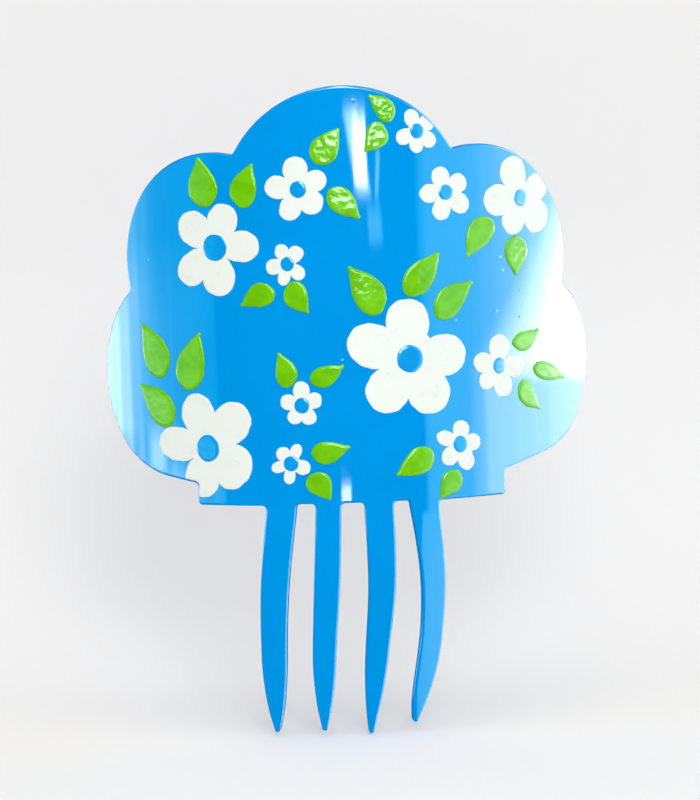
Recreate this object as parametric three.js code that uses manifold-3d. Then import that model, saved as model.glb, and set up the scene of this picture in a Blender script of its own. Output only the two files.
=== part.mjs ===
// Decorative hair comb: one heat-bent plastic sheet, a scalloped head plate with four tines,
// painted on its convex face with flowers, raised flower centres and raised leaves.
//
// The comb is drawn flat, as the sheet is before it is bent, and then bent as a whole.
// Flat coordinates are [across, up, lift]: across is measured along the painted face from the
// middle of the comb, up from the lower edge of the head plate, and lift outwards from the
// painted face. After bending, +X is across, +Z is up and the painted face looks towards -Y.
// All lengths are millimetres and all angles are degrees.

import * as THREE from 'three';
import { mergeVertices } from 'three/addons/utils/BufferGeometryUtils.js';
import Module from 'manifold-3d';

const wasm = await Module();
wasm.setup();

// ---------------------------------------------------------------------------------------------
// Driving dimensions
// ---------------------------------------------------------------------------------------------

// The plastic sheet and its bends.
const SHEET_THICKNESS = 3;
const EDGE_ROUND = 0.6;
const PAINTED_FACE_RADIUS = 95;
const TINE_BEND_START = 2;
const TINE_BEND_RADIUS = 115;
const TINE_BEND_ANGLE = 14;

// The head plate: one round lobe on top and two round lobes down each side. The plate is cut by
// hand, so the two sides differ a little. Below its lower lobe each side runs straight in to the
// shoulder at a slope of runSlope.
const TOP_LOBE = { across: 0, up: 87.7, radius: 39.5 };
const LEFT_LOBES = {
  upper: { across: 42.1, up: 74.9, radius: 33.4 },
  lower: { across: 55.5, up: 40.2, radius: 32.1 },
  runSlope: 10,
};
const RIGHT_LOBES = {
  upper: { across: 42.8, up: 73.8, radius: 34.6 },
  lower: { across: 59.8, up: 40.4, radius: 29.2 },
  runSlope: 14,
};
const LOBE_NOTCH_RADIUS = 1;

// The shoulder, the straight-sided band that carries the tines.
const SHOULDER_HALF_WIDTH = 50;
const SHOULDER_CORNER_RADIUS = 1.2;
const SHOULDER_NOTCH_RADIUS = 1.2;

// The tines. centres are how far across the middle of a tine lies at its root, one third and two
// thirds of the way down, and at its tip. widths are at the root, one third and two thirds.
const TINES = [
  { length: 74.9, centres: [-22.5, -25.4, -26.4, -26.1], widths: [9.6, 9, 8.1] },
  { length: 74.4, centres: [-7.8, -8.9, -10.4, -10.9], widths: [8, 8.1, 7.4] },
  { length: 75.6, centres: [7.9, 8.2, 6, 3.7], widths: [9.2, 8.6, 7.2] },
  { length: 72.7, centres: [22.3, 24.5, 23, 17.8], widths: [9.4, 7.8, 7] },
];
const TINE_TIP_RADIUS = 0.9;
const TINE_TAPER_START = 0.72;
const TINE_TAPER_POWER = 1.5;
const TINE_GAP_TOP = 0.4;
const TINE_ROOT_RADIUS = 1.2;

// The paint. PAINT_CLEARANCE keeps each coat just off what it lies on.
const PAINT_CLEARANCE = 0.1;
const PAINT_RIM = 0.7;
const PETAL_RELIEF = 0.4;
const CENTRE_RELIEF = 0.6;
const LEAF_RELIEF = 0.8;
const LEAF_EDGE_ROUND = 0.25;

// The painted design is drawn on a field of this size, which is stretched onto the head plate.
const DESIGN_FIELD = { halfWidth: 88.3, height: 127.2 };

// Flowers: at is the middle, centre the width and height of the raised blue middle, and each
// petal is [direction from the middle, reach, breadth].
const FLOWERS = [
  { at: [23, 112.8], centre: [4.5, 4.6],
    petals: [[36, 6.4, 5], [111, 6.9, 4.8], [203, 7, 4.8], [267, 6.8, 4.5], [322, 7.1, 4.8]] },
  { at: [-13.8, 96.3], centre: [5.1, 5.2],
    petals: [[25, 9.4, 6.6], [97, 10, 7.7], [173, 10.5, 7], [246, 10, 6.8], [314, 9.2, 7.4]] },
  { at: [31.7, 93.9], centre: [4.8, 4.8],
    petals: [[33, 7.9, 6], [108, 7.9, 5.9], [182, 8.6, 5.8], [254, 8.7, 5.8], [323, 9.1, 6.2]] },
  { at: [58.5, 91.3], centre: [5.3, 5.3],
    petals: [[24, 12.2, 8.4], [109, 13.4, 9.8], [183, 13.9, 9.7], [246, 12, 8.6], [317, 13.7, 10.6]] },
  { at: [-40.8, 79.3], centre: [8.1, 8.1],
    petals: [[1, 14.3, 9.6], [72, 13.8, 10], [140, 15, 10.5], [219, 15.9, 10], [275, 14.9, 10.8]] },
  { at: [-17.8, 73.9], centre: [4.3, 4.5],
    petals: [[49, 6.5, 4.8], [114, 6.4, 4.4], [191, 6.9, 4.8], [254, 6.8, 3.9], [318, 6.5, 4.4]] },
  { at: [18.7, 43.8], centre: [8.3, 8.5],
    petals: [[3, 18.2, 12.8], [92, 18.4, 13.6], [159, 20.1, 13.6], [233, 18.8, 13.4],
      [299, 18.8, 13.4]] },
  { at: [48.5, 40], centre: [4.6, 5],
    petals: [[355, 9.8, 7], [86, 9.7, 7.6], [168, 9.2, 6.3], [224, 9, 5.8], [282, 9.9, 6.9]] },
  { at: [-14.8, 30.7], centre: [4.7, 4.9],
    petals: [[21, 6.5, 4.9], [91, 7.5, 5.1], [166, 6.8, 4.8], [237, 6.4, 4.7], [298, 6.4, 4.9]] },
  { at: [-45.6, 17.7], centre: [7.8, 8.4],
    petals: [[44, 18.1, 12.4], [107, 17.4, 11.4], [174, 18.3, 10.6], [255, 15.6, 12.2],
      [325, 16.1, 14.2]] },
  { at: [-18.7, 13], centre: [4.7, 4.8],
    petals: [[67, 6.4, 3.6], [129, 6, 4.5], [195, 6.5, 3.6], [261, 6.3, 3.6], [340, 6.1, 4.6]] },
  { at: [34.2, 16.8], centre: [4.7, 5.3],
    petals: [[4, 6.9, 5.3], [85, 7.3, 5.6], [157, 8.2, 4.7], [226, 8, 5.6], [289, 8.5, 5.5]] },
];
// The half section of a flower's raised middle, from its underside out and over to its crown, as
// shares of its radius and of its relief.
const CENTRE_PROFILE = [[0, 0], [1, 0], [0.86, 0.62], [0.5, 0.92], [0, 1]];
const PETAL_INNER_END = 0.1;
const PETAL_FULLNESS = 0.14;
const HUB_MARGIN = 0.6;

// Leaves: foot is the round end, tip the pointed end, and sway how far the middle of the leaf
// bows to the left on the way from foot to tip.
const LEAVES = [
  { foot: [15.4, 116.2], tip: [8.4, 124], breadth: 6.4, sway: -0.8 },
  { foot: [12, 115.6], tip: [6.6, 107], breadth: 7.2, sway: 1 },
  { foot: [-8.4, 104], tip: [-0.9, 114.4], breadth: 8.6, sway: 0 },
  { foot: [-4.4, 96], tip: [4.7, 87], breadth: 7.8, sway: 0 },
  { foot: [-43.5, 91.7], tip: [-45.6, 107], breadth: 10, sway: 0 },
  { foot: [-31.8, 91.2], tip: [-27.8, 104.6], breadth: 8.6, sway: 0.8 },
  { foot: [47.3, 85.3], tip: [38.2, 74], breadth: 8.8, sway: -0.8 },
  { foot: [56.6, 79.7], tip: [55.8, 67.5], breadth: 9, sway: 0 },
  { foot: [9.8, 57.9], tip: [0.7, 72.6], breadth: 10, sway: -0.7 },
  { foot: [18, 63.4], tip: [29.2, 75.8], breadth: 9, sway: 0 },
  { foot: [27.6, 56], tip: [39.9, 66.5], breadth: 8.8, sway: 0.8 },
  { foot: [-22.1, 65.8], tip: [-32.9, 61.4], breadth: 7.5, sway: -0.7 },
  { foot: [-17, 68.3], tip: [-11.8, 58.7], breadth: 7.7, sway: -0.8 },
  { foot: [-61.5, 39.5], tip: [-69.3, 56], breadth: 10.4, sway: -0.8 },
  { foot: [-52.6, 35.6], tip: [-47.2, 53.4], breadth: 10.3, sway: 0.5 },
  { foot: [-58.4, 24.8], tip: [-71, 37], breadth: 10, sway: -0.8 },
  { foot: [-19, 36.2], tip: [-21.6, 47], breadth: 7, sway: -0.8 },
  { foot: [-12, 38], tip: [-1.6, 42.6], breadth: 6.5, sway: -0.6 },
  { foot: [-12.4, 15.7], tip: [-0.5, 17.8], breadth: 7, sway: -0.5 },
  { foot: [-13.4, 9.2], tip: [-7, 1.6], breadth: 7.7, sway: 0.8 },
  { foot: [53.9, 46.2], tip: [64.7, 50.3], breadth: 6.2, sway: -1 },
  { foot: [61.8, 38.5], tip: [76, 34.3], breadth: 5.8, sway: 0.2 },
  { foot: [56.9, 34.7], tip: [64.3, 25.5], breadth: 6.3, sway: -1.2 },
  { foot: [25.1, 15.3], tip: [13.5, 8.4], breadth: 8.2, sway: 0.3 },
  { foot: [33.4, 8.6], tip: [27.1, 0.2], breadth: 6.9, sway: 0 },
];
const LEAF_BELLY_POWER = 0.68;
const LEAF_POINT_POWER = 0.85;

// How finely the faceted model follows its curves.
const CURVE_SAG = 0.08;
const BEND_STRIP = 6;
const TINE_STEPS = 10;
const PETAL_POINTS = 16;
const LEAF_POINTS = 16;
const CENTRE_POINTS = 14;
const SHORTEST_STEP = 0.05;
const FEWEST_ARC_STEPS = 3;
const CREASE_CLEARANCE = 0.05;
const MERGE_TOLERANCE = 0.0001;
const SEWING_TOLERANCE = 0.001;

// ---------------------------------------------------------------------------------------------
// Finishes
// ---------------------------------------------------------------------------------------------

const BLUE_LACQUER = { color: 0x0a9be8, roughness: 0.12, metalness: 0 };
const WHITE_PAINT = { color: 0xeef1ea, roughness: 0.55, metalness: 0 };
const GREEN_PAINT = { color: 0x66ba06, roughness: 0.2, metalness: 0 };

// ---------------------------------------------------------------------------------------------
// Plane geometry
// ---------------------------------------------------------------------------------------------

const radians = THREE.MathUtils.degToRad;

/** The point at a given angle on a circle, all angles in radians. */
function pointOnCircle(centre, radius, angle) {
  return new THREE.Vector2(
    centre.x + radius * Math.cos(angle),
    centre.y + radius * Math.sin(angle),
  );
}

/** Points along an arc, close enough together for the chords to stay within CURVE_SAG. */
function arcPoints({ centre, radius, from, to }) {
  const widestStep = 2 * Math.acos(1 - CURVE_SAG / radius);
  const steps = Math.max(FEWEST_ARC_STEPS, Math.ceil(Math.abs(to - from) / widestStep));
  const points = [];
  for (let step = 0; step <= steps; step += 1) {
    points.push(pointOnCircle(centre, radius, from + ((to - from) * step) / steps));
  }
  return points;
}

/** The same arc on the other side of the middle of the comb, run the other way. */
function mirrorArc({ centre, radius, from, to }) {
  return {
    centre: new THREE.Vector2(-centre.x, centre.y),
    radius,
    from: Math.PI - to,
    to: Math.PI - from,
  };
}

/** The crossing of two circles on the left-hand side of the way from the first to the second. */
function outerCrossing(first, firstRadius, second, secondRadius) {
  const apart = second.clone().sub(first);
  const distance = apart.length();
  const along = (distance ** 2 + firstRadius ** 2 - secondRadius ** 2) / (2 * distance);
  const aside = Math.sqrt(firstRadius ** 2 - along ** 2);
  const unit = apart.normalize();
  const outwards = new THREE.Vector2(-unit.y, unit.x);
  return first.clone().addScaledVector(unit, along).addScaledVector(outwards, aside);
}

const angleTo = (from, to) => Math.atan2(to.y - from.y, to.x - from.x);
const vectorOf = ({ across, up }) => new THREE.Vector2(across, up);

// ---------------------------------------------------------------------------------------------
// Flat outline of the sheet
// ---------------------------------------------------------------------------------------------

/**
 * The arcs up one side of the head plate, from the shoulder to the top of the comb, drawn as a
 * right-hand side. inset moves the whole outline inwards by that much.
 */
function sideArcs({ lower, upper, runSlope }, inset) {
  const [low, mid, top] = [lower, upper, TOP_LOBE].map(vectorOf);
  const lowRadius = lower.radius - inset;
  const midRadius = upper.radius - inset;
  const topRadius = TOP_LOBE.radius - inset;
  const notch = LOBE_NOTCH_RADIUS + inset;
  const corner = SHOULDER_CORNER_RADIUS - inset;
  const side = SHOULDER_HALF_WIDTH - inset;

  const lowerNotch = outerCrossing(mid, midRadius + notch, low, lowRadius + notch);
  const upperNotch = outerCrossing(top, topRadius + notch, mid, midRadius + notch);

  // Under the lower lobe the edge leaves the circle and runs straight in to the shoulder.
  const slope = radians(runSlope);
  const runStart = pointOnCircle(low, lowRadius, slope - Math.PI / 2);
  const armpit = SHOULDER_NOTCH_RADIUS + inset;
  const armpitTouch = side + armpit * (1 - Math.sin(slope));
  const armpitCentre = new THREE.Vector2(
    side + armpit,
    runStart.y - (runStart.x - armpitTouch) * Math.tan(slope) - armpit * Math.cos(slope),
  );

  return [
    { centre: new THREE.Vector2(side - corner, inset + corner), radius: corner,
      from: -Math.PI / 2, to: 0 },
    { centre: armpitCentre, radius: armpit, from: Math.PI, to: Math.PI / 2 + slope },
    { centre: low, radius: lowRadius, from: slope - Math.PI / 2, to: angleTo(low, lowerNotch) },
    { centre: lowerNotch, radius: notch,
      from: angleTo(lowerNotch, low) + 2 * Math.PI, to: angleTo(lowerNotch, mid) },
    { centre: mid, radius: midRadius, from: angleTo(mid, lowerNotch), to: angleTo(mid, upperNotch) },
    { centre: upperNotch, radius: notch,
      from: angleTo(upperNotch, mid) + 2 * Math.PI, to: angleTo(upperNotch, top) + 2 * Math.PI },
    { centre: top, radius: topRadius, from: angleTo(top, upperNotch), to: Math.PI / 2 },
  ];
}

/** Points up the right side of the head plate, over the top and down the left side. */
function headPoints(inset) {
  const right = sideArcs(RIGHT_LOBES, inset);
  const left = sideArcs(LEFT_LOBES, inset).map(mirrorArc).reverse();
  return [...right, ...left].flatMap(arcPoints);
}

/** Width of a tine at a share of the way from its root, 0, to its tip, 1. */
function tineWidth({ widths: [root, third, twoThirds] }, share) {
  const step = 3 * share;
  const bow = (twoThirds - 2 * third + root) / 2;
  const blade = root + (third - root) * step + bow * step * (step - 1);
  const taper = Math.max(0, (share - TINE_TAPER_START) / (1 - TINE_TAPER_START));
  return THREE.MathUtils.lerp(blade, 2 * TINE_TIP_RADIUS, taper ** TINE_TAPER_POWER);
}

/** Points down the left edge of a tine, round its tip and up its right edge. */
function tinePoints(tine) {
  const rootDrop = TINE_ROOT_RADIUS;
  const blade = tine.length - TINE_TIP_RADIUS - rootDrop;
  const middle = new THREE.SplineCurve(tine.centres.map((across, index) => (
    new THREE.Vector2(across, -rootDrop - (blade * index) / (tine.centres.length - 1))
  )));
  const stations = Array.from({ length: TINE_STEPS + 1 }, (_, step) => step / TINE_STEPS);
  const edge = (side) => stations.map((share) => {
    const point = middle.getPoint(share);
    return new THREE.Vector2(point.x + (side * tineWidth(tine, share)) / 2, point.y);
  });
  const tip = arcPoints({
    centre: middle.getPoint(1), radius: TINE_TIP_RADIUS, from: Math.PI, to: 2 * Math.PI,
  });
  return [...edge(-1), ...tip.slice(1, -1), ...edge(1).reverse()];
}

/** The rounded inner corner beside a tine's root; side is -1 left of the tine and 1 right of it. */
function rootCorner(rootPoint, side, ceiling) {
  const radius = TINE_ROOT_RADIUS;
  const centre = new THREE.Vector2(rootPoint.x + side * radius, ceiling - radius);
  const wall = side < 0 ? 0 : Math.PI;
  const points = arcPoints({ centre, radius, from: wall, to: Math.PI / 2 });
  return side < 0 ? points.reverse() : points;
}

/** Points along the lower edge of the comb, from the left shoulder past every tine to the right. */
function lowerEdgePoints() {
  const last = TINES.length - 1;
  return TINES.flatMap((tine, index) => {
    const edge = tinePoints(tine);
    const leftCeiling = index === 0 ? 0 : TINE_GAP_TOP;
    const rightCeiling = index === last ? 0 : TINE_GAP_TOP;
    return [
      ...rootCorner(edge[0], -1, leftCeiling),
      ...edge,
      ...rootCorner(edge[edge.length - 1], 1, rightCeiling),
    ];
  });
}

/** Drops points that lie on the point before them, so that an outline has no empty steps. */
function withoutRepeats(points) {
  return points.filter((point, index) => {
    const previous = points[(index + points.length - 1) % points.length];
    return point.distanceTo(previous) > SHORTEST_STEP;
  });
}

const outlineShape = (points) => new THREE.Shape(withoutRepeats(points));

// ---------------------------------------------------------------------------------------------
// Flat solids
// ---------------------------------------------------------------------------------------------

/** Turns a closed geometry in flat coordinates into a solid that can be joined and cut. */
function solidFrom(geometry) {
  const bare = geometry.clone();
  bare.deleteAttribute('normal');
  bare.deleteAttribute('uv');
  const merged = mergeVertices(bare, MERGE_TOLERANCE);
  return new wasm.Manifold(new wasm.Mesh({
    numProp: 3,
    vertProperties: new Float32Array(merged.attributes.position.array),
    triVerts: new Uint32Array(merged.index.array),
  }));
}

/** A slab with square edges over an outline, between two lifts. */
function slab(points, bottom, top) {
  const geometry = new THREE.ExtrudeGeometry(outlineShape(points), {
    depth: top - bottom, bevelEnabled: false, steps: 1,
  });
  geometry.translate(0, 0, bottom);
  return solidFrom(geometry);
}

/** A slab over an outline whose edges are cut back all round, top and bottom alike. */
function softSlab(points, bottom, top, edge) {
  const geometry = new THREE.ExtrudeGeometry(outlineShape(points), {
    depth: top - bottom - 2 * edge,
    steps: 1,
    bevelEnabled: true,
    bevelThickness: edge,
    bevelSize: edge,
    bevelOffset: -edge,
    bevelSegments: 1,
  });
  geometry.translate(0, 0, bottom + edge);
  return solidFrom(geometry);
}

/** The sheet before bending, head plate and tines in one. */
function flatSheet() {
  const outline = [...headPoints(0), ...lowerEdgePoints()];
  return softSlab(outline, -SHEET_THICKNESS, 0, EDGE_ROUND);
}

/** Where paint can lie: over the head plate, inside its rounded edge. */
function paintRoom(bottom) {
  return slab(headPoints(PAINT_RIM), bottom, bottom + SHEET_THICKNESS);
}

const plateHalfWidth = [LEFT_LOBES, RIGHT_LOBES]
  .reduce((sum, { lower }) => sum + (lower.across + lower.radius) / 2, 0);
const designStretch = new THREE.Vector2(
  plateHalfWidth / DESIGN_FIELD.halfWidth,
  (TOP_LOBE.up + TOP_LOBE.radius) / DESIGN_FIELD.height,
);

/** Stretches a point of the painted design onto the head plate. */
const onHead = (point) => point.clone().multiply(designStretch);

/** Outline of one petal: an oval that starts near the flower's middle and is fuller outside. */
function petalPoints(at, [direction, reach, breadth]) {
  const inner = reach * PETAL_INNER_END;
  const halfLength = (reach - inner) / 2;
  const points = [];
  for (let index = 0; index < PETAL_POINTS; index += 1) {
    const turn = (2 * Math.PI * index) / PETAL_POINTS;
    const fullness = 1 + PETAL_FULLNESS * Math.cos(turn);
    const point = new THREE.Vector2(
      inner + halfLength * (1 + Math.cos(turn)),
      (breadth / 2) * Math.sin(turn) * fullness,
    );
    points.push(onHead(point.rotateAround(new THREE.Vector2(), radians(direction)).add(at)));
  }
  return points;
}

/** Outline of a round or oval patch. */
function ovalPoints(at, width, height, count) {
  const points = [];
  for (let index = 0; index < count; index += 1) {
    const turn = (2 * Math.PI * index) / count;
    const spoke = new THREE.Vector2((width / 2) * Math.cos(turn), (height / 2) * Math.sin(turn));
    points.push(onHead(spoke.add(at)));
  }
  return points;
}

/** One flower's white petals as a single thin coat. */
function flatFlower({ at, centre: [width, height], petals }) {
  const middle = new THREE.Vector2(...at);
  const bottom = PAINT_CLEARANCE;
  const top = bottom + PETAL_RELIEF;
  const hub = ovalPoints(middle, width + 2 * HUB_MARGIN, height + 2 * HUB_MARGIN, PETAL_POINTS);
  return petals
    .map((petal) => slab(petalPoints(middle, petal), bottom, top))
    .reduce((flower, petal) => flower.add(petal), slab(hub, bottom, top))
    .intersect(paintRoom(bottom));
}

/** The raised drop of blue paint in the middle of a flower. */
function flatCentre({ at: [across, up], centre: [width, height] }) {
  const place = onHead(new THREE.Vector2(across, up));
  const profile = CENTRE_PROFILE.map(([reach, lift]) => (
    new THREE.Vector2(reach, lift * CENTRE_RELIEF)
  ));
  const drop = new THREE.LatheGeometry(profile, CENTRE_POINTS);
  drop.rotateX(Math.PI / 2);
  drop.scale((width * designStretch.x) / 2, (height * designStretch.y) / 2, 1);
  drop.translate(place.x, place.y, 2 * PAINT_CLEARANCE + PETAL_RELIEF);
  return solidFrom(drop);
}

/** Outline of a leaf, swept on both sides of a bowed middle line from its foot to its tip. */
function leafPoints({ foot, tip, breadth, sway }) {
  const start = new THREE.Vector2(...foot);
  const end = new THREE.Vector2(...tip);
  const along = end.clone().sub(start).normalize();
  const left = new THREE.Vector2(-along.y, along.x);
  const bow = start.clone().lerp(end, 0.5).addScaledVector(left, 2 * sway);
  const middle = new THREE.QuadraticBezierCurve(start, bow, end);
  const points = [];
  for (let index = 0; index < LEAF_POINTS; index += 1) {
    const turn = (2 * Math.PI * index) / LEAF_POINTS;
    const share = (1 - Math.cos(turn)) / 2;
    const belly = Math.max(0, Math.sin(Math.PI * share ** LEAF_BELLY_POWER)) ** LEAF_POINT_POWER;
    const aside = -Math.sign(Math.sin(turn)) * (breadth / 2) * belly;
    points.push(onHead(middle.getPoint(share).addScaledVector(left, aside)));
  }
  return points;
}

/** A leaf of thick paint, flat underneath and rounded off on top. */
function flatLeaf(leaf) {
  const bottom = PAINT_CLEARANCE;
  return softSlab(leafPoints(leaf), bottom - LEAF_RELIEF, bottom + LEAF_RELIEF, LEAF_EDGE_ROUND)
    .intersect(paintRoom(bottom));
}

// ---------------------------------------------------------------------------------------------
// Bending
// ---------------------------------------------------------------------------------------------

/** Reads a solid as a list of points and a list of triangles. */
function meshOf(solid) {
  const { numProp, vertProperties, triVerts } = solid.getMesh();
  const points = [];
  for (let index = 0; index < vertProperties.length; index += numProp) {
    points.push([...vertProperties.slice(index, index + 3)]);
  }
  const faces = [];
  for (let index = 0; index < triVerts.length; index += 3) {
    faces.push([...triVerts.slice(index, index + 3)]);
  }
  return { points, faces };
}

/** Moves a crease that would run through a corner of the outline until it is clear of them all. */
function clearOfCorners(value, corners) {
  let place = value;
  while (corners.some((corner) => Math.abs(corner - place) < CREASE_CLEARANCE)) {
    place += CREASE_CLEARANCE;
  }
  return place;
}

/** Where a flat solid is creased, as a list of places across it and a list of places up it. */
function creasesOf(solid) {
  const { points } = meshOf(solid);
  const corners = [0, 1].map((axis) => points.map((point) => point[axis]));
  const [[left, foot], [right]] = [Math.min, Math.max].map((end) => (
    corners.map((values) => values.reduce((one, other) => end(one, other)))
  ));
  const across = [];
  for (let strip = Math.ceil(left / BEND_STRIP); strip * BEND_STRIP < right; strip += 1) {
    across.push(strip * BEND_STRIP);
  }
  const bendLength = TINE_BEND_RADIUS * radians(TINE_BEND_ANGLE);
  const folds = Math.ceil(bendLength / BEND_STRIP);
  const up = [];
  for (let fold = 0; fold <= folds && foot < 0; fold += 1) {
    up.push(-TINE_BEND_START - (bendLength * fold) / folds);
  }
  return [across, up].map((places, axis) => (
    places.map((place) => clearOfCorners(place, corners[axis]))
  ));
}

/** Splits solids along a list of planes square to one axis. */
function splitAlong(solids, axis, places) {
  const normal = [0, 0, 0];
  normal[axis] = 1;
  return places.reduce((pieces, place) => pieces.flatMap((piece) => (
    piece.splitByPlane(normal, place).filter((part) => !part.isEmpty())
  )), solids);
}

/** Which creases a point lies on, as true or false for each crease. */
function creasesThrough(point, creases) {
  return creases.flatMap((places, axis) => (
    places.map((place) => Math.abs(point[axis] - place) < SEWING_TOLERANCE)
  ));
}

/** Splits a face wherever another point of its crease lies on one of its edges. */
function sewnFace(face, points, seams) {
  for (let step = 0; step < 3; step += 1) {
    const [a, b, c] = [0, 1, 2].map((corner) => face[(step + corner) % 3]);
    const crease = seams.findIndex((seam) => seam.has(a) && seam.has(b));
    const start = new THREE.Vector3(...points[a]);
    const edge = new THREE.Line3(start, new THREE.Vector3(...points[b]));
    const between = crease < 0 ? undefined : [...seams[crease]].find((index) => {
      const point = new THREE.Vector3(...points[index]);
      const share = edge.closestPointToPointParameter(point, false);
      const onEdge = edge.at(share, new THREE.Vector3()).distanceTo(point) < SEWING_TOLERANCE;
      return index !== a && index !== b && onEdge && share > 0 && share < 1;
    });
    if (between !== undefined) {
      return [[a, between, c], [between, b, c]].flatMap((half) => sewnFace(half, points, seams));
    }
  }
  return [face];
}

/**
 * The surface of a flat solid, with an edge along every crease. The solid is split at its creases,
 * and the skins of the parts are sewn together again without the faces that the splits left.
 */
function creasedSkin(solid) {
  const creases = creasesOf(solid);
  const parts = creases.reduce((pieces, places, axis) => splitAlong(pieces, axis, places), [solid]);
  const points = [];
  const faces = [];
  const known = new Map();
  const place = (point) => {
    const key = point.map((part) => Math.round(part / SEWING_TOLERANCE)).join();
    if (!known.has(key)) {
      known.set(key, points.length);
      points.push(point);
    }
    return known.get(key);
  };
  parts.map(meshOf).forEach((mesh) => {
    const onCreases = mesh.points.map((point) => creasesThrough(point, creases));
    const isSplit = (face) => onCreases[face[0]].some((_, crease) => (
      face.every((corner) => onCreases[corner][crease])
    ));
    mesh.faces.filter((face) => !isSplit(face)).forEach((face) => {
      faces.push(face.map((corner) => place(mesh.points[corner])));
    });
  });
  const seams = creases.flat().map(() => new Set());
  points.forEach((point, index) => {
    creasesThrough(point, creases).forEach((isOn, crease) => isOn && seams[crease].add(index));
  });
  return { points, faces: faces.flatMap((face) => sewnFace(face, points, seams)) };
}

/**
 * Bends one flat point. The whole comb is rolled about an upright axis behind it, and below the
 * head plate the tines also sweep backwards.
 */
function bent([across, up, lift]) {
  const below = Math.max(0, -up - TINE_BEND_START);
  const bend = Math.min(below / TINE_BEND_RADIUS, radians(TINE_BEND_ANGLE));
  const straight = below - bend * TINE_BEND_RADIUS;
  const back = TINE_BEND_RADIUS * (1 - Math.cos(bend)) + straight * Math.sin(bend);
  const drop = TINE_BEND_RADIUS * Math.sin(bend) + straight * Math.cos(bend);
  const turn = across / PAINTED_FACE_RADIUS;
  const radius = PAINTED_FACE_RADIUS + lift * Math.cos(bend);
  return [
    radius * Math.sin(turn),
    PAINTED_FACE_RADIUS - radius * Math.cos(turn) + back,
    Math.max(up, -TINE_BEND_START) - (below > 0 ? drop : 0) - lift * Math.sin(bend),
  ];
}

/** Bends a flat solid and makes it one named piece of the comb. */
function bentPiece(name, flatSolid, finish) {
  const { points, faces } = creasedSkin(flatSolid);
  const geometry = new THREE.BufferGeometry();
  geometry.setAttribute('position', new THREE.Float32BufferAttribute(points.flatMap(bent), 3));
  geometry.setIndex(faces.flat());
  geometry.computeVertexNormals();
  const piece = new THREE.Mesh(geometry, new THREE.MeshStandardMaterial(finish));
  piece.name = name;
  return piece;
}

// ---------------------------------------------------------------------------------------------
// Assembly
// ---------------------------------------------------------------------------------------------

const numbered = (stem, index) => `${stem}_${String(index + 1).padStart(2, '0')}`;

/** Groups one bent piece for each entry of a list. */
function pieceGroup(stem, entries, flatMaker, finish) {
  const group = new THREE.Group();
  entries.forEach((entry, index) => {
    group.add(bentPiece(numbered(stem, index), flatMaker(entry), finish));
  });
  return group;
}

const comb = new THREE.Group();
comb.name = 'decorative_hair_comb';
comb.add(bentPiece('comb_sheet', flatSheet(), BLUE_LACQUER));
comb.add(pieceGroup('flower', FLOWERS, flatFlower, WHITE_PAINT));
comb.add(pieceGroup('flower_centre', FLOWERS, flatCentre, BLUE_LACQUER));
comb.add(pieceGroup('leaf', LEAVES, flatLeaf, GREEN_PAINT));

export default comb;
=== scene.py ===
"""Looks of the decorative hair comb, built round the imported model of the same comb.

The comb is one bent plastic sheet under clear blue lacquer, painted by hand on its convex face.
Each piece is worked out flat, as [across, up, lift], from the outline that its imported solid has,
and is then bent as the sheet is. Lengths are metres and the directions of light are degrees.
"""

from __future__ import annotations

import logging
import math
from dataclasses import dataclass
from enum import Enum
from typing import Callable, Iterable, Sequence

import bmesh
import bpy
import numpy as np
from mathutils import Matrix, Vector, noise
from mathutils.geometry import delaunay_2d_cdt

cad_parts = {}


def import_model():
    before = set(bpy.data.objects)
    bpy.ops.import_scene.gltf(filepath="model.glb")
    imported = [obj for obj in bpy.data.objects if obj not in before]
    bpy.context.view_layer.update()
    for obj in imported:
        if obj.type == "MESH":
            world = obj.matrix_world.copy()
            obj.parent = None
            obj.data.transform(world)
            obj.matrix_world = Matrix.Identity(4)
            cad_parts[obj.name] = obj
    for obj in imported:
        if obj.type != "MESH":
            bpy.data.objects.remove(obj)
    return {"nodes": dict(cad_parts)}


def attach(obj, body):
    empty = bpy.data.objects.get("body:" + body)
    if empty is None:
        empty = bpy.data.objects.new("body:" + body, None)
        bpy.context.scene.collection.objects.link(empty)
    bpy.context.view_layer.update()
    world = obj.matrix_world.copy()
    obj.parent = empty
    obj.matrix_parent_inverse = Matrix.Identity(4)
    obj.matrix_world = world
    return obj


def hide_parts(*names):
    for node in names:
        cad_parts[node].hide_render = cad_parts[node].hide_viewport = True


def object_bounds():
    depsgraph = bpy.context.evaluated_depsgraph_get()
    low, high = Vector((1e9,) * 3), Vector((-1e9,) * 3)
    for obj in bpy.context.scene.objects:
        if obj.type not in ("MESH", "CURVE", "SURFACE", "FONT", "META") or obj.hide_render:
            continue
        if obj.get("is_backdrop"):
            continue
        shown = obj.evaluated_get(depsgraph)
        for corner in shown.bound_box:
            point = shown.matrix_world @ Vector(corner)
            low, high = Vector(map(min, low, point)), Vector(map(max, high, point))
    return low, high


Object = bpy.types.Object
Nodes = dict[str, bpy.types.Object]
Socket = bpy.types.NodeSocket
Colour = tuple[float, float, float]
Knots = tuple[tuple[float, float], ...]

LOG = logging.getLogger("hair_comb")
MM = 0.001
MERGE_DISTANCE = 0.002 * MM
LEVEL_TOLERANCE = 0.03 * MM
FLOOR_GAP = 0.3 * MM
SHARP_TURN = math.radians(25)
UNEVEN_STEPS = 2.2
LEAST_SPREAD = 0.3
FINE_WAVES = 0.35
PLACES_AT_ONCE = 2000
STROKE_RADIUS = 8
COAT_INDEX = 1.5
STREAK_STRETCH = (0.35, 0.03)
STREAK_SEED = 5.0


# ---- Bending ----


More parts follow.
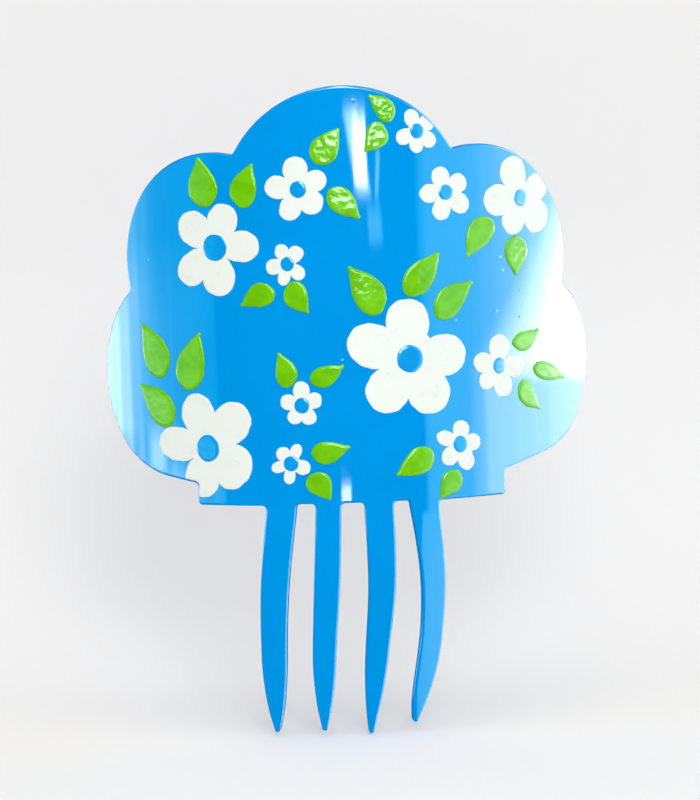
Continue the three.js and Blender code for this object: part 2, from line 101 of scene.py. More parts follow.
@dataclass(frozen=True)
class Bend:
    """How the flat sheet is bent: rolled about an upright axis, with the tines swept back."""

    face_radius: float = 95 * MM
    sweep_start: float = 2 * MM
    sweep_radius: float = 115 * MM
    sweep_angle: float = math.radians(14)
    solving_rounds: int = 25

    def _sweep(self, below: np.ndarray) -> tuple[np.ndarray, np.ndarray, np.ndarray]:
        """Follows the tines down.

        Args:
            below: Distances along the sheet below the line where the sweep starts.

        Returns:
            The sweep's angle, how far back it has gone and how far down, for each distance.
        """
        angle = np.minimum(below / self.sweep_radius, self.sweep_angle)
        straight = below - angle * self.sweep_radius
        back = self.sweep_radius * (1 - np.cos(angle)) + straight * np.sin(angle)
        drop = self.sweep_radius * np.sin(angle) + straight * np.cos(angle)
        return angle, back, drop

    def _below(self, drop: np.ndarray) -> np.ndarray:
        """The distance along the sheet for each depth below the start of the sweep.

        Args:
            drop: Depths below the line where the sweep starts.

        Returns:
            The distance along the bent sheet to each depth.
        """
        bent_drop = self.sweep_radius * math.sin(self.sweep_angle)
        curved = self.sweep_radius * np.arcsin(np.clip(drop, 0, bent_drop) / self.sweep_radius)
        return curved + np.maximum(drop - bent_drop, 0) / math.cos(self.sweep_angle)

    def place(self, flat: np.ndarray) -> np.ndarray:
        """Bends flat points.

        Args:
            flat: Points as rows of across, up and lift.

        Returns:
            The same points in the comb's own frame.
        """
        across, up, lift = flat.T
        below = np.maximum(0, -up - self.sweep_start)
        angle, back, drop = self._sweep(below)
        turn = across / self.face_radius
        radius = self.face_radius + lift * np.cos(angle)
        height = np.maximum(up, -self.sweep_start) - drop - lift * np.sin(angle)
        return np.stack(
            [radius * np.sin(turn), self.face_radius - radius * np.cos(turn) + back, height], 1
        )

    def turn_normals(self, flat: np.ndarray, normals: np.ndarray) -> np.ndarray:
        """Turns directions with the sheet.

        Args:
            flat: The flat points that the directions belong to.
            normals: Directions as rows of across, up and lift.

        Returns:
            Unit directions in the comb's own frame.
        """
        turn = flat[:, 0] / self.face_radius
        angle = self._sweep(np.maximum(0, -flat[:, 1] - self.sweep_start))[0]
        zero = np.zeros_like(turn)
        across = np.stack([np.cos(turn), np.sin(turn), zero], 1)
        up = np.stack([zero, -np.sin(angle), np.cos(angle)], 1)
        lift = np.stack(
            [np.cos(angle) * np.sin(turn), -np.cos(angle) * np.cos(turn), -np.sin(angle)], 1
        )
        turned = normals[:, :1] * across + normals[:, 1:2] * up + normals[:, 2:] * lift
        return turned / np.linalg.norm(turned, axis=1, keepdims=True)

    def flatten(self, placed: np.ndarray) -> np.ndarray:
        """Undoes the bending.

        Args:
            placed: Points in the comb's own frame.

        Returns:
            The flat points, as rows of across, up and lift.
        """
        x, y, z = placed.T
        lift = np.zeros_like(x)
        angle = np.zeros_like(x)
        for _ in range(self.solving_rounds):
            depth = -(z + lift * np.sin(angle)) - self.sweep_start
            below = self._below(np.maximum(depth, 0))
            angle, back, _ = self._sweep(below)
            reach = np.hypot(x, self.face_radius - (y - back))
            lift = (reach - self.face_radius) / np.cos(angle)
        turn = np.arctan2(x, self.face_radius - (y - back))
        up = np.where(depth > 0, -self.sweep_start - below, z)
        return np.stack([turn * self.face_radius, up, lift], 1)


# ---- Flat outlines ----


def unit(vectors: np.ndarray) -> np.ndarray:
    """The same directions at length one."""
    return vectors / np.maximum(np.linalg.norm(vectors, axis=-1, keepdims=True), 1e-12)


def cross(first: np.ndarray, second: np.ndarray) -> np.ndarray:
    """The cross product of each pair of flat vectors."""
    return first[:, 0] * second[:, 1] - first[:, 1] * second[:, 0]


def smooth(share: np.ndarray) -> np.ndarray:
    """Eases a share that goes from nought to one in at the start and out at the end."""
    return share * share * (3 - 2 * share)


@dataclass
class FlatOutline:
    """A closed outline in the flat sheet, run anticlockwise."""

    points: np.ndarray

    def __post_init__(self) -> None:
        """Turns a clockwise outline round."""
        if self.area() < 0:
            self.points = self.points[::-1].copy()

    def area(self) -> float:
        """The enclosed area, negative where the outline runs clockwise."""
        return 0.5 * float(np.sum(cross(self.points, np.roll(self.points, -1, 0))))

    @staticmethod
    def of_node(node: Object, bend: Bend, lift: float) -> FlatOutline:
        """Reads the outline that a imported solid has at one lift.

        Args:
            node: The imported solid.
            bend: How the sheet is bent.
            lift: The lift at which the outline is read.

        Returns:
            The outline with the corners that the solid has.
        """
        solid = bmesh.new()
        solid.from_mesh(node.data)
        bmesh.ops.remove_doubles(solid, verts=solid.verts, dist=MERGE_DISTANCE)
        solid.verts.index_update()
        flat = bend.flatten(np.array([vert.co[:] for vert in solid.verts]))
        level = np.abs(flat[:, 2] - lift) < LEVEL_TOLERANCE
        beside: dict[int, list[int]] = {}
        for edge in solid.edges:
            first, second = (vert.index for vert in edge.verts)
            faces = sum(all(level[v.index] for v in face.verts) for face in edge.link_faces)
            if level[first] and level[second] and faces < 2:
                beside.setdefault(first, []).append(second)
                beside.setdefault(second, []).append(first)
        solid.free()
        start = min(beside)
        order, previous, here = [start], start, beside[start][0]
        while here != start:
            order.append(here)
            previous, here = here, next(n for n in beside[here] if n != previous)
        return FlatOutline(flat[order, :2]).without_straight_joins()

    def without_straight_joins(self, tolerance: float = 0.012 * MM) -> FlatOutline:
        """Leaves out the points that lie on the straight line between their neighbours.

        Args:
            tolerance: How far off that line a point may be and still be left out.

        Returns:
            The outline with the points that are left.
        """
        before, after = np.roll(self.points, 1, 0), np.roll(self.points, -1, 0)
        aside = np.abs(cross(unit(after - before), self.points - before))
        return FlatOutline(self.points[aside > tolerance])

    def rounded(self, spacing: float, corner: float = math.radians(38)) -> FlatOutline:
        """Runs a smooth curve through the points.

        Args:
            spacing: The widest gap between points of the new outline.
            corner: The least turn at a point that stays sharp.

        Returns:
            The outline with close points.
        """
        points = self.points
        into, out = self.steps()
        length_in = np.linalg.norm(into, axis=1, keepdims=True)
        length_out = np.linalg.norm(out, axis=1, keepdims=True)
        tangent = unit(into * length_out / length_in + out * length_in / length_out)
        ratio = (length_in / length_out)[:, 0]
        tangent = np.where((ratio > UNEVEN_STEPS)[:, None], unit(into), tangent)
        tangent = np.where((ratio < 1 / UNEVEN_STEPS)[:, None], unit(out), tangent)
        sharp = np.abs(self.turns()) > corner
        fine = []
        for index, start in enumerate(points):
            following = (index + 1) % len(points)
            chord = points[following] - start
            along = unit(chord)
            leaving, arriving = tangent[index], tangent[following]
            if sharp[index]:
                leaving = along if sharp[following] else self._mirrored(arriving, along)
            if sharp[following]:
                arriving = along if sharp[index] else self._mirrored(leaving, along)
            length = float(np.linalg.norm(chord))
            count = max(1, math.ceil(length / spacing))
            share = np.arange(count)[:, None] / count
            fine.append(
                (2 * share**3 - 3 * share**2 + 1) * start
                + (share**3 - 2 * share**2 + share) * length * leaving
                + (3 * share**2 - 2 * share**3) * points[following]
                + (share**3 - share**2) * length * arriving
            )
        return FlatOutline(np.concatenate(fine))

    @staticmethod
    def _mirrored(direction: np.ndarray, chord: np.ndarray) -> np.ndarray:
        """A direction mirrored in a chord, which makes the curve over that chord an arc."""
        return 2 * float(direction @ chord) * chord - direction

    def outward(self) -> np.ndarray:
        """The outward direction at each point, longer where the outline is pointed.

        Returns:
            Directions as rows of across and up.
        """
        into, out = (unit(step) for step in self.steps())
        along = unit(into + out)
        square = np.stack([along[:, 1], -along[:, 0]], 1)
        spread = np.sqrt(np.clip((1 + np.sum(into * out, axis=1)) / 2, LEAST_SPREAD, 1))
        return square / spread[:, None]

    def inset(self, distance: float) -> np.ndarray:
        """The outline's points moved inwards by a distance."""
        return self.points - self.outward() * distance

    def wobbled(self, amount: float, size: float, seed: float) -> FlatOutline:
        """Gives the outline the unevenness of a hand-painted edge, except near sharp corners.

        Args:
            amount: The most that a point moves in or out.
            size: The length of the waves along the edge.
            seed: Which pattern of unevenness is used.

        Returns:
            The uneven outline.
        """
        fine = lumps_at(self.points, size / 3, seed)
        shift = amount * (lumps_at(self.points, size, seed) + FINE_WAVES * fine)
        for corner in self.points[np.abs(self.turns()) > SHARP_TURN]:
            shift *= np.clip(np.linalg.norm(self.points - corner, axis=1) / size, 0, 1)
        return FlatOutline(self.points + unit(self.outward()) * shift[:, None])

    def steps(self) -> tuple[np.ndarray, np.ndarray]:
        """The step that leads to each point, and the step that leads on from it."""
        out = np.roll(self.points, -1, 0) - self.points
        return np.roll(out, 1, 0), out

    def turns(self) -> np.ndarray:
        """The angle that the outline turns through at each point, positive to the left."""
        into, out = self.steps()
        return np.arctan2(cross(into, out), np.sum(into * out, axis=1))

    def depth(self, places: np.ndarray) -> np.ndarray:
        """How deep places lie inside the outline.

        Args:
            places: Flat points as rows of across and up.

        Returns:
            The distance of each from the outline, negative for one outside.
        """
        start, end = self.points, np.roll(self.points, -1, 0)
        edge = end - start
        nearest = np.full(len(places), np.inf)
        inside = np.zeros(len(places), bool)
        for rows in np.array_split(np.arange(len(places)), max(1, len(places) // PLACES_AT_ONCE)):
            spots = places[rows]
            gap = spots[:, None] - start[None]
            share = np.clip(np.sum(gap * edge, 2) / np.sum(edge * edge, 1), 0, 1)
            nearest[rows] = np.linalg.norm(gap - share[..., None] * edge, axis=2).min(1)
            straddles = (start[None, :, 1] > spots[:, None, 1]) != (
                end[None, :, 1] > spots[:, None, 1]
            )
            rise = np.where(edge[:, 1] == 0, 1, edge[:, 1])
            crossing = start[None, :, 0] + (spots[:, None, 1] - start[None, :, 1]) * (
                edge[:, 0] / rise
            )
            inside[rows] = np.sum(straddles & (spots[:, None, 0] < crossing), 1) % 2 == 1
        return np.where(inside, nearest, -nearest)

    def filling(self, spacing: float, margin: float) -> np.ndarray:
        """Evenly spread places inside the outline.

        Args:
            spacing: The distance between neighbouring places.
            margin: How far inside the outline they start.

        Returns:
            The places as rows of across and up.
        """
        low, high = self.points.min(0), self.points.max(0)
        row_height = spacing * math.sqrt(3) / 2
        columns = np.arange(low[0], high[0] + spacing, spacing)
        rows = np.arange(low[1], high[1] + row_height, row_height)
        across, up = np.meshgrid(columns, rows)
        across = across + (np.arange(len(rows)) % 2)[:, None] * spacing / 2
        places = np.stack([across.ravel(), up.ravel()], 1)
        return places[self.depth(places) > margin]


def triangles_over(rim: np.ndarray, inner: np.ndarray) -> np.ndarray:
    """Fills a closed rim with triangles.

    Args:
        rim: The rim's points in order.
        inner: Points inside the rim that become corners too.

    Returns:
        Triangles as rows of three indices into the rim's points followed by the inner ones.
    """
    corners = [Vector(point) for point in np.concatenate([rim, inner]) / MM]
    made = delaunay_2d_cdt(corners, [], [list(range(len(rim)))], 1, 1e-6, True)
    origin = [known[0] if known else -1 for known in made[3]]
    faces = np.array([[origin[corner] for corner in face] for face in made[2]])
    faces = faces[faces.min(1) >= 0]
    middles = np.concatenate([rim, inner])[faces].mean(1)
    return faces[FlatOutline(rim).depth(middles) > 0]


# ---- Meshes ----


def mesh_object(
    name: str,
    places: np.ndarray,
    faces: Iterable[Sequence[int]],
    normals: np.ndarray | None = None,
) -> Object:
    """Makes a smooth-shaded object.

    Args:
        name: The object's name.
        places: Its corners as rows of x, y and z.
        faces: Its faces as sequences of corner indices.
        normals: The exact normal of each corner, or None to leave them to the faces.

    Returns:
        The object, linked to the scene.
    """
    mesh = bpy.data.meshes.new(name)
    mesh.from_pydata(places.tolist(), [], [list(map(int, face)) for face in faces])
    mesh.shade_smooth()
    if normals is not None:
        mesh.normals_split_custom_set_from_vertices(normals.tolist())
    made = bpy.data.objects.new(name, mesh)
    bpy.context.scene.collection.objects.link(made)
    return made


def band_faces(count: int, first: int, second: int) -> np.ndarray:
    """Quads between two closed rows of corners.

    Args:
        count: How many corners each row has.
        first: Index of the first corner of the row that the quads start from.
        second: Index of the first corner of the other row.

    Returns:
        The quads as rows of four indices.
    """
    here = np.arange(count)
    following = (here + 1) % count
    return np.stack([first + here, second + here, second + following, first + following], 1)


# ---- Finishes ----

class NodeKit:
    """A node tree under construction, with short ways to add and join its nodes."""

    def __init__(self, tree: bpy.types.NodeTree) -> None:
        """Empties the tree."""
        self.tree = tree
        tree.nodes.clear()

    def feed(self, node: bpy.types.Node, inputs: dict[str | int, object]) -> None:
        """Gives a node's sockets, by name or position, another node's output or a constant.

        Args:
            node: The node to feed.
            inputs: What each socket is given.
        """
        for key, value in inputs.items():
            if isinstance(value, Socket):
                self.tree.links.new(value, node.inputs[key])
            else:
                node.inputs[key].default_value = value

    def add(
        self, kind: str, inputs: dict[str | int, object] | None = None, **settings: object
    ) -> bpy.types.Node:
        """Adds a node.

        Args:
            kind: The node's type, without the words that all the types start with.
            inputs: What goes into its sockets.
            **settings: Attributes of the node itself.

        Returns:
            The node.
        """
        node = self.tree.nodes.new("ShaderNode" + kind)
        for key, value in settings.items():
            setattr(node, key, value)
        self.feed(node, inputs or {})
        return node

    def either(self, choice: Socket, first: Socket, second: Socket) -> Socket:
        """Picks the first shader where the choice is nought and the second where it is one."""
        return self.add("MixShader", {0: choice, 1: first, 2: second}).outputs["Shader"]


class MaterialKit(NodeKit):
    """A material under construction: one shader, and the patterns that feed it."""

    def __init__(self, name: str) -> None:
        """Starts a material with a shader and an output."""
        self.material = bpy.data.materials.new(name)
        self.material.use_nodes = True
        super().__init__(self.material.node_tree)
        self.shader = self.add("BsdfPrincipled")
        self.output = self.add("OutputMaterial", {"Surface": self.shader.outputs["BSDF"]})

    def place(self, stretch: Sequence[float] = (1, 1, 1)) -> Socket:
        """The comb's own coordinates in millimetres, scaled along each axis.

        Args:
            stretch: The scale along each axis.

        Returns:
            The coordinates.
        """
        where = self.add("TexCoord").outputs["Object"]
        scale = [share / MM for share in stretch]
        return self.add("Mapping", {"Vector": where, "Scale": scale}).outputs["Vector"]

    def stroke_place(self, stretch: Sequence[float]) -> Socket:
        """Coordinates across and along the brush strokes, scaled along each."""
        where = self.add("UVMap", uv_map="stroke").outputs["UV"]
        return self.add("Mapping", {"Vector": where, "Scale": (*stretch, 1)}).outputs["Vector"]

    def noise(self, where: Socket, scale: float, detail: float, roughness: float = 0.5) -> Socket:
        """Makes a cloudy pattern.

        Args:
            where: The coordinates that it follows.
            scale: How many features it has per unit of them.
            detail: How many finer layers it has.
            roughness: How strong the finer layers are.

        Returns:
            A value from nought to one.
        """
        inputs = {"Vector": where, "Scale": scale, "Detail": detail, "Roughness": roughness}
        return self.add("TexNoise", inputs).outputs["Fac"]

    def ramp(self, value: Socket, low: float, high: float) -> Socket:
        """Spreads the part of a value between low and high smoothly over nought to one."""
        inputs = {"Value": value, "From Min": low, "From Max": high}
        return self.add("MapRange", inputs, interpolation_type="SMOOTHSTEP").outputs["Result"]

    def sum(self, terms: Sequence[tuple[Socket, float]]) -> Socket:
        """Adds up values, each times its own weight.

        Args:
            terms: Pairs of a value and its weight.

        Returns:
            The total.
        """
        total: Socket | float = 0
        for value, weight in terms:
            inputs = {0: value, 1: weight, 2: total}
            total = self.add("Math", inputs, operation="MULTIPLY_ADD").outputs[0]
        return total

    def product(self, first: Socket, second: Socket) -> Socket:
        """Multiplies two values."""
        return self.add("Math", {0: first, 1: second}, operation="MULTIPLY").outputs[0]

    def blend(self, share: Socket, first: Colour | Socket, second: Colour) -> Socket:
        """Goes from the first colour to the second as the share goes from nought to one.

        Args:
            share: How far to go.
            first: The colour where the share is nought.
            second: The colour where the share is one.

        Returns:
            The colour between.
        """
        first = first if isinstance(first, Socket) else (*first, 1)
        inputs = {"Factor": share, "A": first, "B": (*second, 1)}
        return self.add("Mix", inputs, data_type="RGBA").outputs["Result"]

    def specks(self, where: Socket, spacing: float, size: float, share: float) -> Socket:
        """Scatters round nibs.

        Args:
            where: Coordinates in millimetres.
            spacing: The size of the cells that hold one nib at most.
            size: The largest radius of a nib.
            share: The share of the cells that hold one.

        Returns:
            A value that is one in the middle of a nib and nought away from them.
        """
        cells = self.add("TexVoronoi", {"Vector": where, "Scale": 1 / spacing}, feature="F1")
        draws = self.add("SeparateColor", {"Color": cells.outputs["Color"]})
        inputs = {0: draws.outputs["Red"], 1: 1 - share}
        chosen = self.add("Math", inputs, operation="GREATER_THAN")
        radius = self.sum([(draws.outputs["Green"], size / spacing)])
        inputs = {"Value": cells.outputs["Distance"], "From Max": radius, "To Min": 1, "To Max": 0}
        near = self.add("MapRange", inputs, interpolation_type="SMOOTHSTEP")
        return self.product(near.outputs["Result"], chosen.outputs[0])

    def surface(
        self, colour: Socket, roughness: Socket, heights: Sequence[tuple[Socket, float]]
    ) -> None:
        """Feeds the shader.

        Args:
            colour: The base colour.
            roughness: The base's own roughness.
            heights: Patterns and how high each one stands, in millimetres.
        """
        bump = self.add("Bump", {"Strength": 1, "Distance": MM, "Height": self.sum(heights)})
        normal = bump.outputs["Normal"]
        self.feed(self.shader, {
            "Base Color": colour, "Roughness": roughness, "Normal": normal, "Coat Normal": normal
        })

    def gloss(self, weight: float, roughness: float) -> None:
        """Lays a clear coat over the base, which then mirrors nothing itself."""
        self.feed(self.shader, {
            "Specular IOR Level": 0, "Coat Weight": weight, "Coat Roughness": roughness,
            "Coat IOR": COAT_INDEX,
        })


@dataclass(frozen=True)
class Lacquer:
    """Clear glossy lacquer over blue, with soft ripples, orange peel, dust nibs and pale specks of
    dust with painted glints.
    """

    name: str = "blue_lacquer"
    blue: Colour = (0.0, 0.305, 0.79)
    deep_blue: Colour = (0.0, 0.288, 0.755)
    # Colour of the pale specks: dust, with a painted glint of light on it.
    dust_and_glints: Colour = (0.55, 0.82, 0.95)
    coat_roughness: float = 0.035
    ripple: float = 0.004
    peel: float = 0.0012
    nib: float = 0.13

    def make(self) -> bpy.types.Material:
        """Builds the material.

        Returns:
            The material, ready to put on a mesh.
        """
        kit = MaterialKit(self.name)
        where = kit.place()
        cloud = kit.noise(where, scale=0.03, detail=3)
        blue = kit.blend(kit.ramp(cloud, low=0.3, high=0.7), self.deep_blue, self.blue)
        # Pale specks painted into the colour: partly dust, partly painted glints of light.
        dust_and_glints = kit.specks(where, spacing=7, size=0.85, share=0.3)
        marks = kit.noise(kit.place((1, 1, 0.2)), scale=0.8, detail=4)
        ripples = kit.noise(kit.place((0.22, 0.22, 0.028)), scale=1, detail=2)
        peel = kit.noise(where, scale=0.55, detail=2)
        nibs = kit.specks(where, spacing=6, size=0.75, share=0.4)
        kit.surface(
            colour=kit.blend(dust_and_glints, blue, self.dust_and_glints),
            roughness=kit.sum([(marks, 0.2), (cloud, 0.4)]),
            heights=[(ripples, self.ripple), (peel, self.peel), (nibs, self.nib)],
        )
        kit.gloss(1, self.coat_roughness)
        return kit.material


@dataclass(frozen=True)
class BrushedWhite:
    """Satin white paint with brush strokes, a little thinner and greyer here and there."""

    name: str = "white_paint"
    white: Colour = (0.795, 0.835, 0.78)
    thin: Colour = (0.70, 0.755, 0.745)
    shine: float = 0.12
    stroke: float = 0.05
    grain: float = 0.02

    def make(self) -> bpy.types.Material:
        """Builds the material.

        Returns:
            The material, ready to put on a mesh.
        """
        kit = MaterialKit(self.name)
        where = kit.place()
        strokes = kit.noise(kit.stroke_place((1.6, 0.16)), scale=1, detail=3, roughness=0.6)
        patches = kit.noise(where, scale=0.22, detail=3)
        thinness = kit.product(
            kit.ramp(patches, low=0.5, high=0.78), kit.ramp(strokes, low=0.35, high=0.7)
        )
        grain = kit.noise(where, scale=2.2, detail=2)
        kit.surface(
            colour=kit.blend(thinness, self.white, self.thin),
            roughness=kit.sum([(strokes, 0.16), (patches, 0.8)]),
            heights=[(strokes, self.stroke), (grain, self.grain)],
        )
        kit.feed(kit.shader, {"Specular IOR Level": self.shine})
        return kit.material


@dataclass(frozen=True)
class ThickGreen:
    """Thick glossy green paint, laid on unevenly, so that its shine is broken up."""

    name: str = "green_paint"
    green: Colour = (0.135, 0.49, 0.002)
    light: Colour = (0.175, 0.57, 0.004)
    coat_roughness: float = 0.12
    lumps: float = 0.03
    grain: float = 0.008
    coat: float = 0.5

    def make(self) -> bpy.types.Material:
        """Builds the material.

        Returns:
            The material, ready to put on a mesh.
        """
        kit = MaterialKit(self.name)
        where = kit.place()
        cloud = kit.noise(where, scale=0.2, detail=3)
        lumps = kit.noise(where, scale=0.6, detail=2)
        grain = kit.noise(where, scale=1.8, detail=2)
        kit.surface(
            colour=kit.blend(kit.ramp(cloud, low=0.35, high=0.65), self.green, self.light),
            roughness=kit.sum([(cloud, 0.5), (grain, 0.3)]),
            heights=[(lumps, self.lumps), (grain, self.grain)],
        )
        kit.gloss(self.coat, self.coat_roughness)
        return kit.material


@dataclass(frozen=True)
class BlueDrop:
    """Glossy blue paint that has set as a raised drop."""

    name: str = "blue_paint"
    blue: Colour = (0.0, 0.33, 0.80)
    deep_blue: Colour = (0.0, 0.30, 0.75)
    coat_roughness: float = 0.12
    lumps: float = 0.02

    def make(self) -> bpy.types.Material:
        """Builds the material.

        Returns:
            The material, ready to put on a mesh.
        """
        kit = MaterialKit(self.name)
        where = kit.place()
        cloud = kit.noise(where, scale=0.4, detail=2)
        kit.surface(
            colour=kit.blend(cloud, self.deep_blue, self.blue),
            roughness=kit.sum([(cloud, 0.8)]),
            heights=[(kit.noise(where, scale=0.8, detail=2), self.lumps)],
        )
        kit.gloss(1, self.coat_roughness)
        return kit.material


@dataclass(frozen=True)
class StudioPaper:
    """Matt pale paper, seen from its front side only, so that it never hides the comb."""

    name: str = "studio_paper"
    tone: Colour = (0.855, 0.832, 0.822)
    darkest: float = 0.97

    def make(self) -> bpy.types.Material:
        """Builds the material.

        Returns:
            The material, ready to put on a mesh.
        """
        kit = MaterialKit(self.name)
        fibres = kit.noise(kit.place(), scale=0.01, detail=3)
        darker = tuple(self.darkest * part for part in self.tone)
        tone = kit.blend(fibres, darker, self.tone)
        kit.feed(kit.shader, {"Base Color": tone, "Roughness": 0.9, "Specular IOR Level": 0.1})
        behind = kit.add("NewGeometry").outputs["Backfacing"]
        clear = kit.add("BsdfTransparent").outputs["BSDF"]
        kit.feed(kit.output, {"Surface": kit.either(behind, kit.shader.outputs["BSDF"], clear)})
        return kit.material


Finish = Lacquer | BrushedWhite | BlueDrop | ThickGreen


class Slot(Enum):
    """The finishes of the comb, by the name of their material slot."""

    LACQUER = "blue_lacquer"
    WHITE = "white_paint"
    DROP = "blue_paint"
    GREEN = "green_paint"

    def finish(self) -> Finish:
        """The finish that goes in this slot."""
        return {
            Slot.LACQUER: Lacquer(),
            Slot.WHITE: BrushedWhite(),
            Slot.DROP: BlueDrop(),
            Slot.GREEN: ThickGreen(),
        }[self]


class Wardrobe:
    """Makes each finish once and puts it on pieces."""

    def __init__(self) -> None:
        """Starts with no finish made."""
        self._made: dict[Finish, bpy.types.Material] = {}

    def dress(self, piece: Object, slot: Slot, finish: Finish | None = None) -> None:
        """Puts a finish on a piece.

        Args:
            piece: The piece to dress.
            slot: The slot that the finish belongs to.
            finish: The finish, or None for the slot's usual one.
        """
        finish = finish or slot.finish()
        if finish not in self._made:
            self._made[finish] = finish.make()
        piece.data.materials.clear()
        piece.data.materials.append(self._made[finish])

    def complete(self, piece: Object, slot: Slot, finish: Finish | None = None) -> None:
        """Dresses a piece, rides it on the comb's only body and reports it.

        Args:
            piece: The finished piece.
            slot: The slot that its finish belongs to.
            finish: The finish, or None for the slot's usual one.
        """
        self.dress(piece, slot, finish)
        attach(piece, "root")
        LOG.info("%s: %d corners", piece.name, len(piece.data.vertices))


# ---- The comb's sheet ----


@dataclass
class CombSheet:
    """The one bent sheet: head plate, shoulders and tines, with softly rounded edges."""

    bend: Bend
    thickness: float = 3 * MM
    packed_edge_round: float = 0.6 * MM
    edge_round: float = 0.8 * MM
    edge_steps: int = 5
    rim_spacing: float = 0.8 * MM
    fill_spacing: float = 2.6 * MM
    fill_margin: float = 0.55
    tightest_pull: float = 0.6
    pull_smoothing: int = 4
    node: str = "comb_sheet"
    name: str = "lacquered_sheet"

    def build(self, nodes: Nodes) -> Object:
        """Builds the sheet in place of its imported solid.

        Args:
            nodes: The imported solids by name.

        Returns:
            The finished mesh object.
        """
        packed = FlatOutline.of_node(nodes[self.node], self.bend, -self.packed_edge_round)
        outline = packed.rounded(self.rim_spacing)
        outward = unit(outline.outward())
        rim = outline.points
        count = len(rim)
        places, normals, faces = [], [], []
        reach = self._pull(outline)[:, None]
        for angle, lift in self._edge_profile():
            pulled = reach * (1 - math.cos(angle))
            places.append(np.column_stack([rim - outward * pulled, np.full(count, lift)]))
            aim = np.column_stack([outward * math.cos(angle), np.full(count, math.sin(angle))])
            normals.append(aim)
        for step in range(len(places) - 1):
            faces.extend(band_faces(count, step * count, (step + 1) * count).tolist())
        front_rim = places[0][:, :2]
        inner = FlatOutline(front_rim).filling(
            self.fill_spacing, self.fill_margin * self.fill_spacing
        )
        fill = triangles_over(front_rim, inner)
        rings = len(places)
        for side, lift in ((1, 0.0), (-1, -self.thickness)):
            ring = 0 if side > 0 else (rings - 1) * count
            start = sum(len(row) for row in places)
            places.append(np.column_stack([inner, np.full(len(inner), lift)]))
            normals.append(np.tile([0.0, 0.0, float(side)], (len(inner), 1)))
            corners = np.where(fill < count, fill + ring, fill - count + start)
            faces.extend((corners if side > 0 else corners[:, ::-1]).tolist())
        flat = np.concatenate(places)
        sheet = mesh_object(
            self.name,
            self.bend.place(flat),
            faces,
            self.bend.turn_normals(flat, np.concatenate(normals)),
        )
        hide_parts(self.node)
        return sheet

    def _pull(self, outline: FlatOutline) -> np.ndarray:
        """How far the edge's rounding reaches in at each point, less at tight corners.

        Args:
            outline: The sheet's outline.

        Returns:
            The reach at each of its points.
        """
        length = sum(np.linalg.norm(step, axis=1) for step in outline.steps()) / 2
        limit = self.tightest_pull * length / np.maximum(outline.turns(), 1e-6)
        limit = np.minimum(limit, np.minimum(np.roll(limit, 1), np.roll(limit, -1)))
        pull = np.minimum(limit, self.edge_round)
        for _ in range(self.pull_smoothing):
            pull = np.minimum(pull, (np.roll(pull, 1) + pull + np.roll(pull, -1)) / 3)
        return pull

    def _edge_profile(self) -> list[tuple[float, float]]:
        """The edge from the front face round to the back, as angles and lifts.

        Returns:
            Pairs of the angle that the edge faces and its lift.
        """
        turns = [math.pi / 2 * (1 - step / self.edge_steps) for step in range(self.edge_steps + 1)]
        front = [(turn, -self.edge_round * (1 - math.sin(turn))) for turn in turns]
        back = [
            (-turn, -self.thickness + self.edge_round * (1 - math.sin(turn)))
            for turn in reversed(turns)
        ]
        return front + back


# ---- The paint ----

Height = Callable[[np.ndarray, np.ndarray], np.ndarray]


@dataclass
class PaintPatch:
    """One closed patch of paint that lies on the sheet or on another patch."""

    bend: Bend
    outline: FlatOutline
    foot: float
    height: Height
    spacing: float
    rim_insets: tuple[float, ...] = (0.05 * MM, 0.14 * MM, 0.28 * MM)

    def build(self, node: str, middle: np.ndarray | None = None) -> Object:
        """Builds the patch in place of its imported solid.

        Args:
            node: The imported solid's name.
            middle: Where the brush strokes start from, or None for the middle of the rim.

        Returns:
            The mesh object, with brush coordinates in its stroke layer.
        """
        rim = self.outline.points
        insets = [self._sound_inset(distance) for distance in self.rim_insets]
        fill = self.outline.filling(self.spacing, self.rim_insets[-1] + 0.5 * self.spacing)
        inner = np.concatenate([*insets, fill])
        lifts = self.height(self.outline.depth(inner), inner)
        flat = np.concatenate([
            np.column_stack([rim, np.full(len(rim), self.foot)]),
            np.column_stack([inner, lifts]),
        ])
        underside = triangles_over(rim, np.empty((0, 2)))[:, ::-1]
        faces = np.concatenate([triangles_over(rim, inner), underside])
        patch = mesh_object(f"painted_{node}", self.bend.place(flat), faces)
        self._mark_strokes(patch, flat, rim.mean(0) if middle is None else middle)
        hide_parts(node)
        return patch

    def _sound_inset(self, distance: float) -> np.ndarray:
        """The outline moved inwards, without the points that end up too near it."""
        moved = self.outline.inset(distance)
        return moved[self.outline.depth(moved) > 0.8 * distance]

    @staticmethod
    def _mark_strokes(patch: Object, flat: np.ndarray, middle: np.ndarray) -> None:
        """Writes how far round and how far out each corner lies, in millimetres, as a layer.

        Args:
            patch: The mesh object to mark.
            flat: Its corners in the flat sheet.
            middle: Where the brush strokes start from.
        """
        away = (flat[:, :2] - middle) / MM
        reach = np.hypot(*away.T)
        around = np.arctan2(away[:, 1], away[:, 0]) * STROKE_RADIUS
        layer = patch.data.uv_layers.new(name="stroke")
        corners = np.array([loop.vertex_index for loop in patch.data.loops])
        layer.data.foreach_set("uv", np.stack([around, reach], 1)[corners].ravel())


def rounded_rise(depth: np.ndarray, width: float, sharpness: float = 0.5) -> np.ndarray:
    """A rounded shoulder that rises from nought at the rim to one at the given depth."""
    share = np.clip(depth / width, 0, 1)
    return (1 - (1 - share) ** 2) ** sharpness


def lumps_at(places: np.ndarray, scale: float, seed: float) -> np.ndarray:
    """Smooth unevenness between about minus one and one, with lumps of a given size."""
    return np.array([noise.noise((across / scale, up / scale, seed)) for across, up in places])


